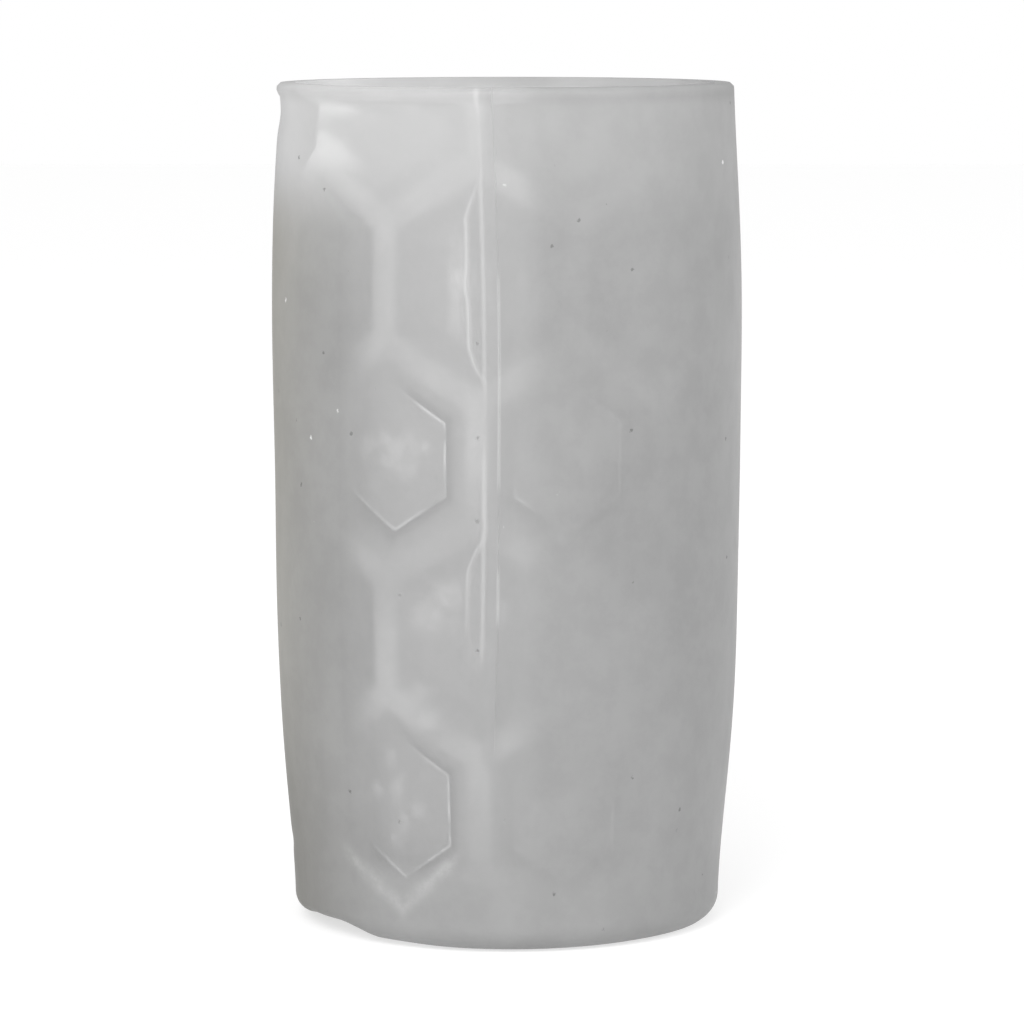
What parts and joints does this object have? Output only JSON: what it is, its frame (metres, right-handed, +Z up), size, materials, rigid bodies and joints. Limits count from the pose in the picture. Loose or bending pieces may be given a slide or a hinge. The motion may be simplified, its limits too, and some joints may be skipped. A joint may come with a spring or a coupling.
{
  "type": "candle mold",
  "caption": "Upright slit sleeve mold of translucent silicone rubber with a honeycomb in relief inside, open at the top, closed at the base.",
  "frame": {"origin": "centre of the flat base, on the surface it stands on", "axes": "+Z up out of the mouth, -Y towards the cut, +X to the right of the cut seen from the front"},
  "size_m": [0.0764, 0.0764, 0.136],
  "materials": {
    "silicone": "smooth translucent milky silicone, satin outside"
  },
  "bodies": {
    "base": {"floor": "silicone", "base_wall": "silicone", "back_web": "silicone"},
    "left_side": {"left_flap": "silicone"},
    "right_side": {"right_flap": "silicone"}
  },
  "joints": [
    {"name": "left_flap_peel", "type": "hinge", "parent": "base", "child": "left_side", "pos_m": [-0.00811, 0.03743, 0.083], "axis": [0, 0, -1], "range_deg": [0, 35], "stiffness_Nm_per_rad": 0.2},
    {"name": "right_flap_peel", "type": "hinge", "parent": "base", "child": "right_side", "pos_m": [0.00811, 0.03743, 0.083], "axis": [0, 0, 1], "range_deg": [0, 35], "stiffness_Nm_per_rad": 0.2}
  ]
}
